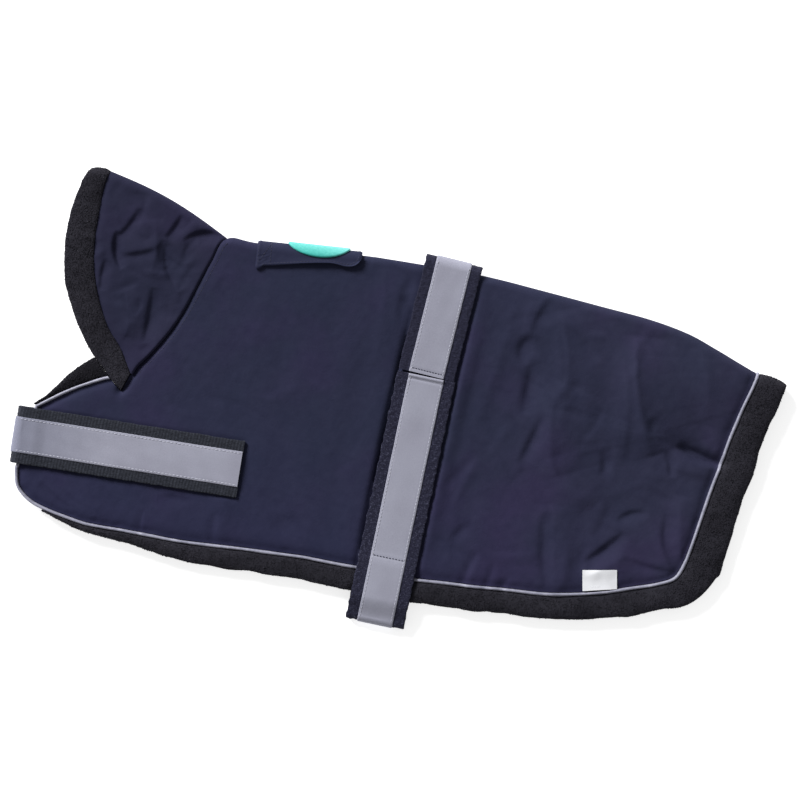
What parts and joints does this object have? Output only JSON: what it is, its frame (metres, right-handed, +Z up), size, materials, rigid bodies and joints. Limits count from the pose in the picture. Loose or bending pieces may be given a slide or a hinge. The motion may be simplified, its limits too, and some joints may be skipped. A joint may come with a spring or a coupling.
{
  "type": "dog raincoat, folded flat",
  "caption": "Padded dog raincoat with standing collar, reflective piping, chest strap and girth strap, folded flat along its back with fleece edges showing.",
  "frame": {"origin": "centre of the folded coat's outline in plan, on the surface that it lies on", "axes": "+X along the folded back from the neck to the tail, +Y from the hem up to the back, +Z up from the surface"},
  "size_m": [0.5132, 0.2625, 0.0151],
  "materials": {
    "shell_cloth": "waterproof coated navy cloth, slight sheen",
    "fleece": "black fleece with a short pile",
    "piping_cloth": "grey retroreflective cloth",
    "reflective_tape": "smooth grey retroreflective tape",
    "webbing": "matt black hook-and-loop webbing",
    "patch": "matt turquoise rubbery cloth",
    "tab_cloth": "smooth white satin tape"
  },
  "bodies": {
    "root": {"body": "shell_cloth", "collar": "shell_cloth", "lead_flap": "shell_cloth", "collar_band": "fleece", "hem_border": "fleece", "neck_border_near": "fleece", "neck_border_far": "fleece", "piping": "piping_cloth", "chest_strap": "webbing", "girth_strap_upper": "webbing", "girth_strap_lower": "webbing", "chest_strap_tape": "reflective_tape", "girth_strap_upper_tape": "reflective_tape", "girth_strap_lower_tape": "reflective_tape", "flap_patch": "patch", "tab": "tab_cloth"}
  },
  "joints": []
}
